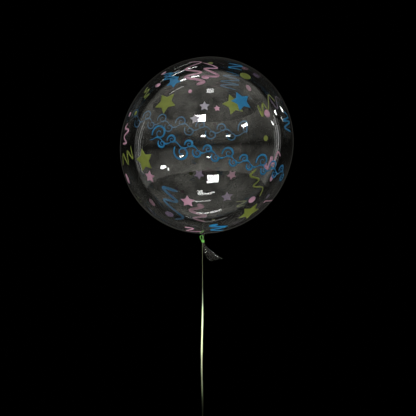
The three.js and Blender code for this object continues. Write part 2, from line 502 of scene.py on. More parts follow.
@dataclass
class Band:
    """A flat band with rounded edges, swept along a line."""

    width: float = 5.0 * MM
    thickness: float = 0.35 * MM
    corners: int = 8
    roundness: float = 0.35

    def section(self, centre: Vector, wide: Vector, flat: Vector) -> list[Vector]:
        """The corners of the band's section.

        Args:
            centre: its centre.
            wide: the direction of its width.
            flat: the direction of its thickness.

        Returns:
            The corners, once round.
        """
        ring = []
        for corner in range(self.corners):
            turn = 2.0 * math.pi * (corner + 0.5) / self.corners
            across = math.copysign(abs(math.cos(turn)) ** self.roundness, math.cos(turn))
            aside = wide * (across * self.width / 2.0)
            ring.append(centre + aside + flat * (math.sin(turn) * self.thickness / 2.0))
        return ring

    def sweep(self, bm: bmesh.types.BMesh, line: list[Vector], wides: list[Vector]) -> None:
        """Adds the band along a line.

        Args:
            bm: the mesh it is added to.
            line: its centres.
            wides: the direction of its width at each centre.
        """
        run = bm.loops.layers.uv.get("run") or bm.loops.layers.uv.new("run")
        made = bmesh.ops.create_circle(bm, cap_ends=True, segments=self.corners, radius=self.width)["verts"]
        face = made[0].link_faces[0]
        places: dict[bmesh.types.BMVert, tuple[float, float]] = {}
        length = 0.0
        for i, (centre, ahead) in enumerate(zip(line, tangents(line))):
            if i:
                length += (centre - line[i - 1]).length
                grown = bmesh.ops.extrude_face_region(bm, geom=[face])["geom"]
                face = next(item for item in grown if isinstance(item, bmesh.types.BMFace))
                made = list(face.verts)
            wide = (wides[i] - ahead * wides[i].dot(ahead)).normalized()
            ring = self.section(centre, wide, ahead.cross(wide))
            if i == 0:
                order = {vert: k for k, vert in enumerate(made)}
            else:
                order = {vert: before[self.under(vert, before)] for vert in made}
            for vert, k in order.items():
                vert.co = ring[k]
                across = 0.5 + 0.5 * math.cos(2.0 * math.pi * (k + 0.5) / self.corners)
                places[vert] = (across, length / self.width)
            before = order
        for vert, place in places.items():
            for loop in vert.link_loops:
                loop[run].uv = place

    @staticmethod
    def under(vert: bmesh.types.BMVert, before: dict[bmesh.types.BMVert, int]) -> bmesh.types.BMVert:
        """The corner of the last section that a new corner was drawn from."""
        return next(edge.other_vert(vert) for edge in vert.link_edges if edge.other_vert(vert) in before)


def drop_line(width: float, height: float, steps: int) -> list[Vector]:
    """A drop-shaped line in the XZ plane with its point at the origin, round below.

    Args:
        width: its greatest width.
        height: its height.
        steps: how many pieces it has.

    Returns:
        Its points, once round from the tip.
    """
    raw = []
    for i in range(steps + 1):
        turn = 2.0 * math.pi * i / steps
        raw.append((math.sin(turn) * math.sin(turn / 2.0) ** 1.5, height * (math.cos(turn) - 1.0) / 2.0))
    widest = max(x for x, _ in raw)
    return [Vector((x * width / (2.0 * widest), 0.0, z)) for x, z in raw]


# The balloon --------------------------------------------------------------------------------------


@dataclass
class BalloonFilm:
    """The clear film: the round envelope, its gathered neck and its fanned tail, in one thin shell."""

    half_width: float = 279.0 * MM
    half_height: float = 284.5 * MM
    foot_z: float = 614.15 * MM
    lean: float = 23.0 * MM
    neck_x: float = 2.0 * MM
    neck_radius: float = 3.2 * MM
    tied_radius: float = 2.4 * MM
    shoulder_radius: float = 17.0 * MM
    shoulder_drop: float = 6.0 * MM
    tie_top_z: float = 594.35 * MM
    tail_top_z: float = 584.15 * MM
    tail_length: float = 76.0 * MM
    tail_depth: float = 0.8 * MM
    pleat_depth: float = 3.4 * MM
    pleats: int = 4
    crease_depth: float = 0.5 * MM
    fine_crumple: float = 0.6 * MM
    broad_crumple: float = 1.6 * MM
    gather_folds: int = 16
    finer_folds: tuple[tuple[float, int, float], ...] = ((0.5, 29, 0.7), (0.35, 43, 2.1), (0.4, 11, 4.0))
    gather_depth: float = 0.7 * MM
    gather_reach: float = 70.0 * MM
    finer_reach: float = 154.0 * MM
    finer_share: float = 0.8
    neck_ease: float = 4.0 * MM
    wall: float = 0.25 * MM
    turns: int = 240
    rings: int = 124
    tail_rings: int = 24
    shoulder_steps: int = 8
    neck_steps: int = 3
    inner_edge: tuple[Span, ...] = ((-0.03, 0.3), (0.04, 0.58), (0.31, 0.78))
    outer_edge: tuple[Span, ...] = ((0.09, 0.14), (0.36, 0.42), (0.85, 0.68))

    @property
    def centre(self) -> Vector:
        """The middle of the envelope."""
        return Vector((self.neck_x + self.lean / 2.0, 0.0, self.foot_z + self.half_height))

    def outline(self) -> list[Vector]:
        """Half of the outline, beside the neck's axis.

        Returns:
            Its points, from the crown to the mouth of the tail.
        """
        shoulder = math.pi - math.asin(self.shoulder_radius / self.half_width)
        points = []
        for i in range(self.rings + 1):
            angle = shoulder * i / self.rings
            height = self.centre.z + self.half_height * math.cos(angle)
            points.append((self.half_width * math.sin(angle), height))
        start = points[-1]
        bend = (self.neck_radius, self.foot_z)
        end = (self.neck_radius, self.foot_z - self.shoulder_drop)
        for i in range(1, self.shoulder_steps + 1):
            t = i / self.shoulder_steps
            shares = ((1 - t) ** 2, 2 * t * (1 - t), t * t)
            points.append(tuple(sum(map(operator.mul, shares, axis)) for axis in zip(start, bend, end)))
        for i in range(1, self.neck_steps + 1):
            t = i / self.neck_steps
            radius = self.neck_radius + (self.tied_radius - self.neck_radius) * smoothstep(t, 0.0, 1.0)
            points.append((radius, end[1] + (self.tie_top_z - end[1]) * t))
        for i in range(1, self.neck_steps + 1):
            height = self.tie_top_z + (self.tail_top_z - self.tie_top_z) * i / self.neck_steps
            points.append((self.tied_radius, height))
        for i in range(1, self.tail_rings + 1):
            points.append((self.tied_radius, self.tail_top_z - self.tail_length * i / self.tail_rings))
        return [Vector((self.neck_x + radius, 0.0, z)) for radius, z in points]

    def edge_point(self, side: int, shares: tuple[Span, ...], run: float) -> Vector:
        """A point on one side edge of the tail.

        Args:
            side: 1 for the right edge, -1 for the left.
            shares: the places that steer the edge, as shares of the tail's length.
            run: how far down the tail the point is, from 0 to 1.

        Returns:
            The point.
        """
        top = Vector((self.neck_x, 0.0, self.tail_top_z))
        first = top + Vector((side * self.tied_radius, 0.0, 0.0))
        second, third, last = (top + Vector((x, 0.0, -z)) * self.tail_length for x, z in shares)
        back = 1.0 - run
        return first * back**3 + second * (3 * run * back**2) + third * (3 * run**2 * back) + last * run**3

    def in_tail(self, point: Vector) -> Vector:
        """Spreads the straight film below the tie into the flattened, pleated fan.

        Args:
            point: a point of the straight film.

        Returns:
            Its place in the fan.
        """
        run = min((self.tail_top_z - point.z) / self.tail_length, 1.0)
        across = (point.x - self.neck_x) / self.tied_radius
        through = point.y / self.tied_radius
        inner = self.edge_point(-1, self.inner_edge, run)
        outer = self.edge_point(1, self.outer_edge, run)
        place = inner.lerp(outer, (1.0 + across) / 2.0)
        depth = self.tied_radius + (self.tail_depth - self.tied_radius) * smoothstep(run, 0.0, 0.3)
        pleat = self.pleat_depth * run * math.sin(self.pleats * math.pi * across)
        crease = self.crease_depth * math.sin(11.0 * math.pi * across + 3.0 * run)
        crease *= smoothstep(run, 0.05, 0.25)
        layer = math.copysign(1.0, through) if abs(through) > 0.1 else 0.0
        fine = noise.noise(Vector((place.x * 160.0, place.z * 120.0, 9.0 * layer))) * self.fine_crumple
        broad = noise.noise(Vector((place.x * 80.0, place.z * 60.0, 4.0 + 3.0 * layer))) * self.broad_crumple
        crumple = (fine + broad) * smoothstep(run, 0.1, 0.5)
        place.y = depth * through * (1.0 + 0.5 * run) + pleat + crease + crumple
        return place

    def in_envelope(self, point: Vector) -> Vector:
        """Leans the envelope over its neck, and folds the film that gathers there.

        Args:
            point: a point of the upright envelope or neck.

        Returns:
            Its place in the leaning, folded one.
        """
        x, y, z = point.x - self.neck_x, point.y, point.z
        radius = math.hypot(x, y)
        turn = math.atan2(y, x)
        if z < self.centre.z:
            folds = math.cos(self.gather_folds * turn)
            finer = sum(height * math.cos(count * turn + phase) for height, count, phase in self.finer_folds)
            if radius > self.neck_radius:
                near = max(1.0 - radius / self.gather_reach, 0.0)
                far = max(1.0 - radius / self.finer_reach, 0.0)
                z += self.gather_depth * (near * near * folds + self.finer_share * far**3 * finer)
            gathered = smoothstep(self.foot_z - z, -self.neck_ease, self.neck_ease)
            pinch = 0.09 + 0.06 * folds + 0.05 * math.cos(9 * turn + 1.0)
            shrink = 1.0 - gathered * pinch
            x, y = x * shrink, y * shrink
        rise = max(z - self.foot_z, 0.0)
        return Vector((self.neck_x + x + self.lean * rise / (2.0 * self.half_height), y, z))

    def settled(self, point: Vector, lift: float = 0.0) -> tuple[Vector, Vector]:
        """Moves a point near the envelope onto it.

        Args:
            point: a point near the film.
            lift: how far outside the film it is put.

        Returns:
            The point, and the outward normal there.
        """
        skew = self.lean / (2.0 * self.half_height)
        away = point - self.centre
        upright = Vector((away.x - skew * away.z, away.y, away.z * self.half_width / self.half_height))
        unit = upright.normalized()
        rise = self.half_height * unit.z
        place = self.centre + Vector((self.half_width * unit.x + skew * rise, self.half_width * unit.y, rise))
        upwards = unit.z * self.half_width / self.half_height - skew * unit.x
        normal = Vector((unit.x, unit.y, upwards)).normalized()
        return place + normal * lift, normal

    def seen_at(self, x: float, z: float, side: Side) -> Vector:
        """The point of the envelope that is x and z from its middle, seen from the front.

        Args:
            x: millimetres to the right.
            z: millimetres up.
            side: the half of the envelope.

        Returns:
            The point on the film.
        """
        skew = self.lean / (2.0 * self.half_height)
        across = (x * MM - skew * z * MM) / self.half_width
        depth = math.sqrt(max(1.0 - across**2 - (z * MM / self.half_height) ** 2, 0.0))
        return self.centre + Vector((x * MM, side.value * depth * self.half_width, z * MM))

    def build(self, material: bpy.types.Material) -> bpy.types.Object:
        """Spins the outline, shapes it and gives it its wall.

        Args:
            material: the clear film.

        Returns:
            The piece, which stands for the balloon.
        """
        bm = bmesh.new()
        verts = [bm.verts.new(point) for point in self.outline()]
        edges = [bm.edges.new(pair) for pair in zip(verts, verts[1:])]
        axis = Vector((self.neck_x, 0.0, 0.0))
        bmesh.ops.spin(
            bm, geom=verts + edges, cent=axis, axis=UP, angle=2.0 * math.pi, steps=self.turns, use_merge=True
        )
        bmesh.ops.remove_doubles(bm, verts=bm.verts, dist=0.001 * MM)
        for vert in bm.verts:
            below = vert.co.z < self.tail_top_z - 0.0001 * MM
            vert.co = self.in_tail(vert.co) if below else self.in_envelope(vert.co)
        bmesh.ops.recalc_face_normals(bm, faces=bm.faces)
        bm.normal_update()
        crown = max(bm.faces, key=lambda face: face.calc_center_median().z)
        if crown.normal.z < 0.0:
            bmesh.ops.reverse_faces(bm, faces=bm.faces)
        bmesh.ops.solidify(bm, geom=list(bm.faces), thickness=self.wall)
        piece = as_object("balloon_film", bm, [material])
        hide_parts("balloon")
        return piece


# The print ----------------------------------------------------------------------------------------


@dataclass(frozen=True)
class Star:
    """A five-pointed star, in millimetres from the envelope's middle, and the turn of one point."""

    ink: Ink
    x: float
    z: float
    radius: float
    turn: float
    side: Side = Side.FRONT
    layer: int = 1


@dataclass(frozen=True)
class Dot:
    """A round or oval dot: millimetres from the envelope's middle, and its half sizes."""

    ink: Ink
    x: float
    z: float
    wide: float
    tall: float
    side: Side = Side.FRONT


@dataclass(frozen=True)
class Streamer:
    """A zigzag brush stroke through points seen from the front, in millimetres from the envelope's middle."""

    ink: Ink
    first_width: float
    last_width: float
    points: tuple[Span, ...]
    side: Side = Side.FRONT


@dataclass(frozen=True)
class Scroll:
    """A row of tendrils that curl up and down in turn from a waving stem, in millimetres.

    Here stem is the height of its waves, stroke its width, and reach the size of each bay's tendril.
    """

    start: Span
    end: Span
    side: Side
    stem: float
    stroke: float
    reach: tuple[float, ...]


# Where each motif lies in the photograph
F, B = Side.FRONT, Side.BACK
STARS = (
    Star(Ink.LIME, -129, 128, 40, 130),
    Star(Ink.BLUE, -104, 195, 27, -69, F, 2),
    Star(Ink.LIME, 84, 121, 38, 176),
    Star(Ink.BLUE, 108, 132, 36, -38, F, 3),
    Star(Ink.LILAC, -7, 115, 17, 91),
    Star(Ink.PINK, 32, 108, 11, 95),
    Star(Ink.LILAC, -36, 75, 17, 98),
    Star(Ink.LIME, -197, -53, 39, 101),
    Star(Ink.PINK, -179, -104, 21, -66, F, 2),
    Star(Ink.PINK, -60, -182, 24, 85),
    Star(Ink.LILAC, 67, -166, 21, 102, B),
    Star(Ink.LIME, 136, -216, 42, 89),
    Star(Ink.PINK, 83, -93, 18, -97, B),
    Star(Ink.LILAC, -26, -91, 18, -89, B),
)
DOTS = (
    Dot(Ink.PINK, -52, 163, 6, 7),
    Dot(Ink.PINK, -155, 186, 11, 8),
    Dot(Ink.PINK, 190, 95, 13, 13),
    Dot(Ink.LIME, 185, 16, 9, 9),
    Dot(Ink.LIME, -225, 98, 7, 8),
    Dot(Ink.PINK, 143, -176, 13, 13),
    Dot(Ink.PINK, 205, -108, 8, 12),
    Dot(Ink.LIME, 122, 215, 20, 16),
    Dot(Ink.PINK, -137, 227, 9, 9),
    Dot(Ink.PINK, -245, 96, 7, 8),
    Dot(Ink.PINK, -253, -109, 12, 17),
    Dot(Ink.LILAC, 199, -165, 8, 9, B),
    Dot(Ink.LIME, 12, 257, 8, 8),
    Dot(Ink.PINK, 137, 192, 9, 13, B),
    Dot(Ink.PINK, -179, -185, 10, 15, B),
    Dot(Ink.LILAC, -123, -223, 16, 14, B),
    Dot(Ink.LIME, 22, -241, 5, 5, B),
    Dot(Ink.PINK, 125, 251, 18, 10, B),
    Dot(Ink.LILAC, 161, 228, 14, 12, B),
)
STREAMERS = (
    Streamer(
        Ink.PINK, 4, 13,
        ((-57, 261), (-18, 260), (-67, 236), (-18, 225), (-68, 210), (-11, 195), (-32, 184)),
    ),
    Streamer(Ink.PINK, 4, 14, ((-14, 259), (33, 240), (-7, 237), (36, 214), (-10, 211), (6, 205))),
    Streamer(
        Ink.BLUE, 4, 3.5,
        ((62, 246), (105, 231), (54, 232), (107, 216), (46, 215), (105, 202), (45, 202), (98, 186)), B,
    ),
    Streamer(Ink.BLUE, 5, 8, ((-86, 229), (-133, 215), (-95, 210), (-134, 205), (-109, 224), (-138, 222))),
    Streamer(Ink.LIME, 9, 3, ((160, 121), (175, 87), (176, 126), (193, 108), (195, 154), (216, 135))),
    Streamer(Ink.LILAC, 5, 4, ((196, 171), (213, 144), (231, 123), (224, 158), (240, 148)), B),
    Streamer(Ink.BLUE, 6, 6, ((246, 104), (259, 88), (242, 75), (264, 72), (247, 53), (267, 41))),
    Streamer(Ink.LIME, 8, 4, ((156, -80), (137, -101), (164, -113), (147, -134), (176, -138), (167, -166))),
    Streamer(Ink.PINK, 12, 5, ((183, -58), (190, -80), (204, -43), (207, -70), (223, -27), (233, -39))),
    Streamer(Ink.PINK, 8, 5, ((-70, -263), (-44, -268), (-63, -275), (-17, -278))),
    Streamer(Ink.BLUE, 13, 8, ((35, -254), (13, -260), (63, -261), (15, -272), (54, -273))),
    Streamer(Ink.LIME, 7, 3, ((-188, 183), (-197, 165), (-183, 174), (-198, 149), (-182, 159), (-197, 141))),
    Streamer(Ink.PINK, 8, 6, ((-251, 67), (-259, 52), (-248, 44), (-263, 24), (-255, 5), (-267, 2))),
    Streamer(Ink.LIME, 6, 9, ((-241, -6), (-234, -46), (-252, -22), (-249, -62), (-266, -32), (-267, -66))),
    Streamer(Ink.PINK, 6, 4, ((181, -186), (189, -180), (210, -177))),
    Streamer(
        Ink.BLUE, 11, 7,
        ((-96, -148), (-145, -135), (-98, -181), (-141, -176), (-79, -231), (-105, -240)), B,
    ),
    Streamer(
        Ink.PINK, 15, 8,
        ((-32, -191), (-16, -199), (-54, -209), (-31, -221), (-4, -229), (-43, -235), (-4, -248)), B,
    ),
    Streamer(Ink.BLUE, 6, 7, ((69, 257), (113, 248), (71, 243), (111, 235))),
    Streamer(Ink.LIME, 4, 3, ((96, -182), (129, -180), (99, -197), (127, -193)), B),
    Streamer(Ink.LIME, 5, 4, ((-238, -152), (-221, -168), (-227, -172), (-212, -183)), B),
    Streamer(Ink.LILAC, 5, 4, ((-185, -206), (-173, -223), (-162, -229)), B),
)
SCROLLS = (
    Scroll(
        (-176, 18), (247, -94), F, 7, 6.0,
        (2.3, 1.2, 1.3, 2.3, 1.2, 1.3, 1.2, 1.2, 1.7, 1.2, 1.3, 1.1, 2.1, 1.2, 1.6, 1.2, 1.3, 1.3),
    ),
    Scroll(
        (-246, 92), (132, 42), B, 9, 4.2,
        (1.4, 1.3, 1.5, 1.2, 1.4, 1.2, 1.4, 1.3, 1.2, 1.4, 1.2, 1.2, 2.0),
    ),
)


class Row:
    """A straight row on the film, with places measured beside it in millimetres."""

    def __init__(self, film: BalloonFilm, item: Scroll, steps: int) -> None:
        """Lays the row out.

        Args:
            film: the film.
            item: the row's two ends and its side.
            steps: how many pieces it is measured in.
        """
        self.film = film
        start, end = Vector(item.start), Vector(item.end)
        self.base = [film.seen_at(*start.lerp(end, k / steps), item.side) for k in range(steps + 1)]
        self.runs = [0.0]
        for before, after in zip(self.base, self.base[1:]):
            self.runs.append(self.runs[-1] + (after - before).length / MM)

    @property
    def length(self) -> float:
        """The row's length in millimetres."""
        return self.runs[-1]

    def at(self, along: float, above: float) -> Vector:
        """A place beside the row.

        Args:
            along: millimetres along it.
            above: millimetres above it.

        Returns:
            The place.
        """
        along = min(max(along, 0.0), self.length)
        k = min(sum(run < along for run in self.runs[1:]), len(self.runs) - 2)
        share = (along - self.runs[k]) / (self.runs[k + 1] - self.runs[k])
        place = self.base[k].lerp(self.base[k + 1], share)
        ahead = (self.base[k + 1] - self.base[k]).normalized()
        up = self.film.settled(place)[1].cross(ahead)
        if up.z < 0.0:
            up.negate()
        return place + up * (above * MM)


@dataclass
class Print:
    """The stars, dots, streamers and scrolls, as thin layers of ink that follow the film."""

    film: BalloonFilm
    ink_height: float = 0.05 * MM
    first_lift: float = 0.07 * MM
    layer_lift: float = 0.08 * MM
    notch: float = 0.52
    soft_points: float = 0.05
    stroke_steps: int = 10
    row_steps: int = 160
    bay_steps: int = 14
    curl_steps: int = 34
    curl_share: float = 0.42
    curl_start: float = 205.0
    curl_turn: float = 520.0
    curl_in: float = 0.86
    stem_layer: int = 4

    def lay(self, verts: list[bmesh.types.BMVert], anchor: Vector, layer: int) -> None:
        """Lays flat points on the film.

        Args:
            verts: the points, in millimetres about the origin.
            anchor: the place of the origin on the film.
            layer: which layer of ink they are in.
        """
        _, normal = self.film.settled(anchor)
        aside = UP.cross(normal).normalized() * (-1.0 if normal.y > 0.0 else 1.0)
        above = (UP - normal * UP.dot(normal)).normalized()
        for vert in verts:
            flat = anchor + (aside * vert.co.x + above * vert.co.y) * MM
            vert.co = self.film.settled(flat, self.first_lift + self.layer_lift * layer)[0]

    def add_star(self, bm: bmesh.types.BMesh, star: Star) -> None:
        """Adds a star with slightly rounded points.

        Args:
            bm: the mesh it is added to.
            star: its radius and turn.
        """
        verts = bmesh.ops.create_circle(bm, cap_ends=True, segments=10, radius=star.radius)["verts"]
        spin = Matrix.Rotation(math.radians(star.turn) - math.atan2(verts[0].co.y, verts[0].co.x), 3, "Z")
        for k, vert in enumerate(verts):
            vert.co = spin @ vert.co * (self.notch if k % 2 else 1.0)
        bmesh.ops.bevel(
            bm,
            geom=verts,
            offset=star.radius * self.soft_points,
            segments=2,
            profile=0.5,
            affect="VERTICES",
            material=-1,
        )
        self.fill(bm, max(bm.faces, key=lambda face: len(face.verts)), 3)

    def fill(self, bm: bmesh.types.BMesh, face: bmesh.types.BMFace, cuts: int) -> None:
        """Pokes a flat face and cuts it up, so that it can follow the film.

        Args:
            bm: its mesh.
            face: the face.
            cuts: how often each edge is cut.
        """
        fan = bmesh.ops.poke(bm, faces=[face])["faces"]
        edges = list({edge for part in fan for edge in part.edges})
        bmesh.ops.subdivide_edges(bm, edges=edges, cuts=cuts, use_grid_fill=True)

    def motif(self, bm: bmesh.types.BMesh, item: Star | Dot) -> None:
        """Adds one star or dot on the film.

        Args:
            bm: the mesh it is added to.
            item: the star or dot.
        """
        flat = bmesh.new()
        if isinstance(item, Star):
            self.add_star(flat, item)
        else:
            verts = bmesh.ops.create_circle(flat, cap_ends=True, segments=24, radius=1.0)["verts"]
            for vert in verts:
                vert.co = Vector((vert.co.x * item.wide, vert.co.y * item.tall, 0.0))
            self.fill(flat, verts[0].link_faces[0], 2)
        layer = item.layer if isinstance(item, Star) else 1
        self.lay(list(flat.verts), self.film.seen_at(item.x, item.z, item.side), layer)
        self.thicken(flat)
        self.merge(flat, bm)

    def stroke(self, bm: bmesh.types.BMesh, line: list[Vector], widths: list[float], layer: int) -> None:
        """Adds a brush stroke along a line on the film.

        Args:
            bm: the mesh it is added to.
            line: points near the film.
            widths: its width at each point, in metres.
            layer: which layer of ink it is in.
        """
        flat = bmesh.new()
        lift = self.first_lift + self.layer_lift * layer
        placed = [self.film.settled(point, lift) for point in line]
        directions = tangents([place for place, _ in placed])
        edge = None
        for (place, normal), ahead, width in zip(placed, directions, widths):
            half = normal.cross(ahead).normalized() * (width / 2.0)
            if edge is None:
                pair = [flat.verts.new(place - half), flat.verts.new(place + half)]
                edge = flat.edges.new(pair)
                continue
            grown = bmesh.ops.extrude_edge_only(flat, edges=[edge])["geom"]
            edge = next(item for item in grown if isinstance(item, bmesh.types.BMEdge))
            for vert in edge.verts:
                root = next(e.other_vert(vert) for e in vert.link_edges if e is not edge)
                k = pair.index(root) if root in pair else 0
                vert.co = self.film.settled(place + half * (2 * k - 1), lift)[0]
                vert.index = k
            pair = sorted(edge.verts, key=lambda vert: vert.index)
        self.thicken(flat)
        self.merge(flat, bm)

    def thicken(self, flat: bmesh.types.BMesh) -> None:
        """Turns a layer's faces outwards, gives it the ink's height and parts its inner face.

        Args:
            flat: the layer.
        """
        bmesh.ops.recalc_face_normals(flat, faces=flat.faces)
        flat.normal_update()
        for face in flat.faces:
            if face.normal.dot(self.film.settled(face.calc_center_median())[1]) < 0.0:
                face.normal_flip()
        bmesh.ops.solidify(flat, geom=list(flat.faces), thickness=self.ink_height)
        flat.normal_update()
        for face in flat.faces:
            inward = face.normal.dot(self.film.settled(face.calc_center_median())[1]) < 0.0
            # inner faces take the ink's duller copy, which partly paints shade on the far half's prints
            face.material_index = 1 if inward else 0

    @staticmethod
    def merge(source: bmesh.types.BMesh, target: bmesh.types.BMesh) -> None:
        """Moves all of one mesh into another.

        Args:
            source: the mesh that is moved, and freed.
            target: the mesh it is added to.
        """
        mesh = bpy.data.meshes.new("part")
        source.to_mesh(mesh)
        source.free()
        target.from_mesh(mesh)
        bpy.data.meshes.remove(mesh)

    def streamer(self, bm: bmesh.types.BMesh, item: Streamer) -> None:
        """Adds one zigzag streamer, narrow at its ends.

        Args:
            bm: the mesh it is added to.
            item: the streamer.
        """
        line = spline([self.film.seen_at(x, z, item.side) for x, z in item.points], self.stroke_steps)
        last = len(line) - 1
        widths = []
        for k in range(last + 1):
            run = k / last
            full = item.first_width + (item.last_width - item.first_width) * run
            tip = min(smoothstep(run, -0.02, 0.05), smoothstep(1.0 - run, -0.02, 0.04))
            widths.append(full * MM * max(tip, 0.25))
        self.stroke(bm, line, widths, 0)

    def stem(self, bm: bmesh.types.BMesh, item: Scroll, row: Row) -> None:
        """Adds the waving stem of a row of tendrils.

        Args:
            bm: the mesh it is added to.
            item: its wave and stroke.
            row: where it runs.
        """
        last = len(item.reach) * self.bay_steps
        line, widths = [], []
        for k in range(last + 1):
            turn = math.pi * k / self.bay_steps
            tip = max(smoothstep(min(k, last - k), -2, 8), 0.2)
            line.append(row.at(row.length * k / last, -item.stem * math.cos(turn)))
            widths.append(item.stroke * MM * (0.7 + 0.3 * math.cos(2.0 * turn)) * tip)
        self.stroke(bm, line, widths, self.stem_layer)

    def tendril(self, bm: bmesh.types.BMesh, item: Scroll, row: Row, bay: int) -> None:
        """Adds one tendril, which leaves the stem and curls inwards.

        Args:
            bm: the mesh it is added to.
            item: its reach and stroke.
            row: where the row runs.
            bay: which bay of the stem it fills; every second one curls down.
        """
        way = -1.0 if bay % 2 else 1.0
        pitch = row.length / len(item.reach)
        outer = pitch * self.curl_share * item.reach[bay]
        middle = (pitch * (bay + 0.1) + outer * 0.95, way * (outer * 0.82 - item.stem * 0.4))
        line, widths = [], []
        for k in range(self.curl_steps + 1):
            t = k / self.curl_steps
            angle = math.radians(self.curl_start - self.curl_turn * t)
            radius = outer * (1.0 - self.curl_in * t**0.8)
            above = middle[1] + way * radius * math.sin(angle)
            line.append(row.at(middle[0] + radius * math.cos(angle), above))
            swell = math.sin(math.pi * min(t * 1.3 + 0.12, 1.0))
            widths.append(item.stroke * MM * (0.35 + 0.75 * swell))
        self.stroke(bm, line, widths, self.stem_layer + 1)

    def build(self, inks: dict[Ink, list[bpy.types.Material]]) -> list[bpy.types.Object]:
        """Builds one piece for each ink, and one for the scrolls.

        Args:
            inks: the materials of each ink: its outer face, and its duller inner face, partly painted shade.

        Returns:
            The pieces.
        """
        pieces = []
        for ink in Ink:
            bm = bmesh.new()
            for item in (*STARS, *DOTS):
                if item.ink is ink:
                    self.motif(bm, item)
            for item in STREAMERS:
                if item.ink is ink:
                    self.streamer(bm, item)
            pieces.append(as_object(f"print_{ink.name.lower()}", bm, inks[ink]))
        bm = bmesh.new()
        for item in SCROLLS:
            row = Row(self.film, item, self.row_steps)
            self.stem(bm, item, row)
            for bay in range(len(item.reach)):
                self.tendril(bm, item, row, bay)
        pieces.append(as_object("print_scrolls", bm, inks[Ink.BLUE]))
        return pieces


# The ribbon ---------------------------------------------------------------------------------------


@dataclass
class CurlingRibbon:
    """The free run of the ribbon, from the end knot up to the tie."""

    foot_z: float = 25.3 * MM
    band: Band = field(default_factory=Band)
    steps: int = 12
    route: tuple[Place, ...] = (
        (0.0, 0.0, 0), (-0.1, -0.4, 40), (-1.2, -0.9, 80), (-2.1, -1.4, 120), (-2.5, -1.9, 160),
        (-2.5, -2.3, 200), (-2.1, -2.8, 240), (-1.2, -3.2, 280), (-0.4, -3.7, 320), (0.1, -4.2, 360),
        (0.1, -4.6, 400), (-0.1, -5.0, 440), (-0.3, -5.4, 480), (-0.6, -5.7, 520), (-0.8, -6.0, 560),
    )
    twist: tuple[Span, ...] = (
        (0.0, 92.0), (0.24, 96.0), (0.34, 118.0), (0.41, 150.0), (0.5, 176.0), (0.58, 184.0),
        (0.68, 205.0), (0.745, 216.0), (0.84, 207.0), (0.93, 209.0), (1.0, 220.0),
    )

    def line(self) -> list[Vector]:
        """The centres of the ribbon, from its foot to its top."""
        places = [Vector((x * MM, y * MM, self.foot_z + rise * MM)) for x, y, rise in self.route]
        return spline(places, self.steps)

    def build(self, material: bpy.types.Material) -> bpy.types.Object:
        """Sweeps the ribbon, with its slow twist.

        Args:
            material: its finish.

        Returns:
            The piece.
        """
        line = self.line()
        last = len(line) - 1
        wides = []
        for k in range(last + 1):
            angle = math.radians(through_table(self.twist, 1.0 - k / last))
            wides.append(Vector((math.cos(angle), math.sin(angle), 0.0)))
        bm = bmesh.new()
        self.band.sweep(bm, line, wides)
        piece = as_object("ribbon_run", bm, [material])
        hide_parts("ribbon")
        return piece


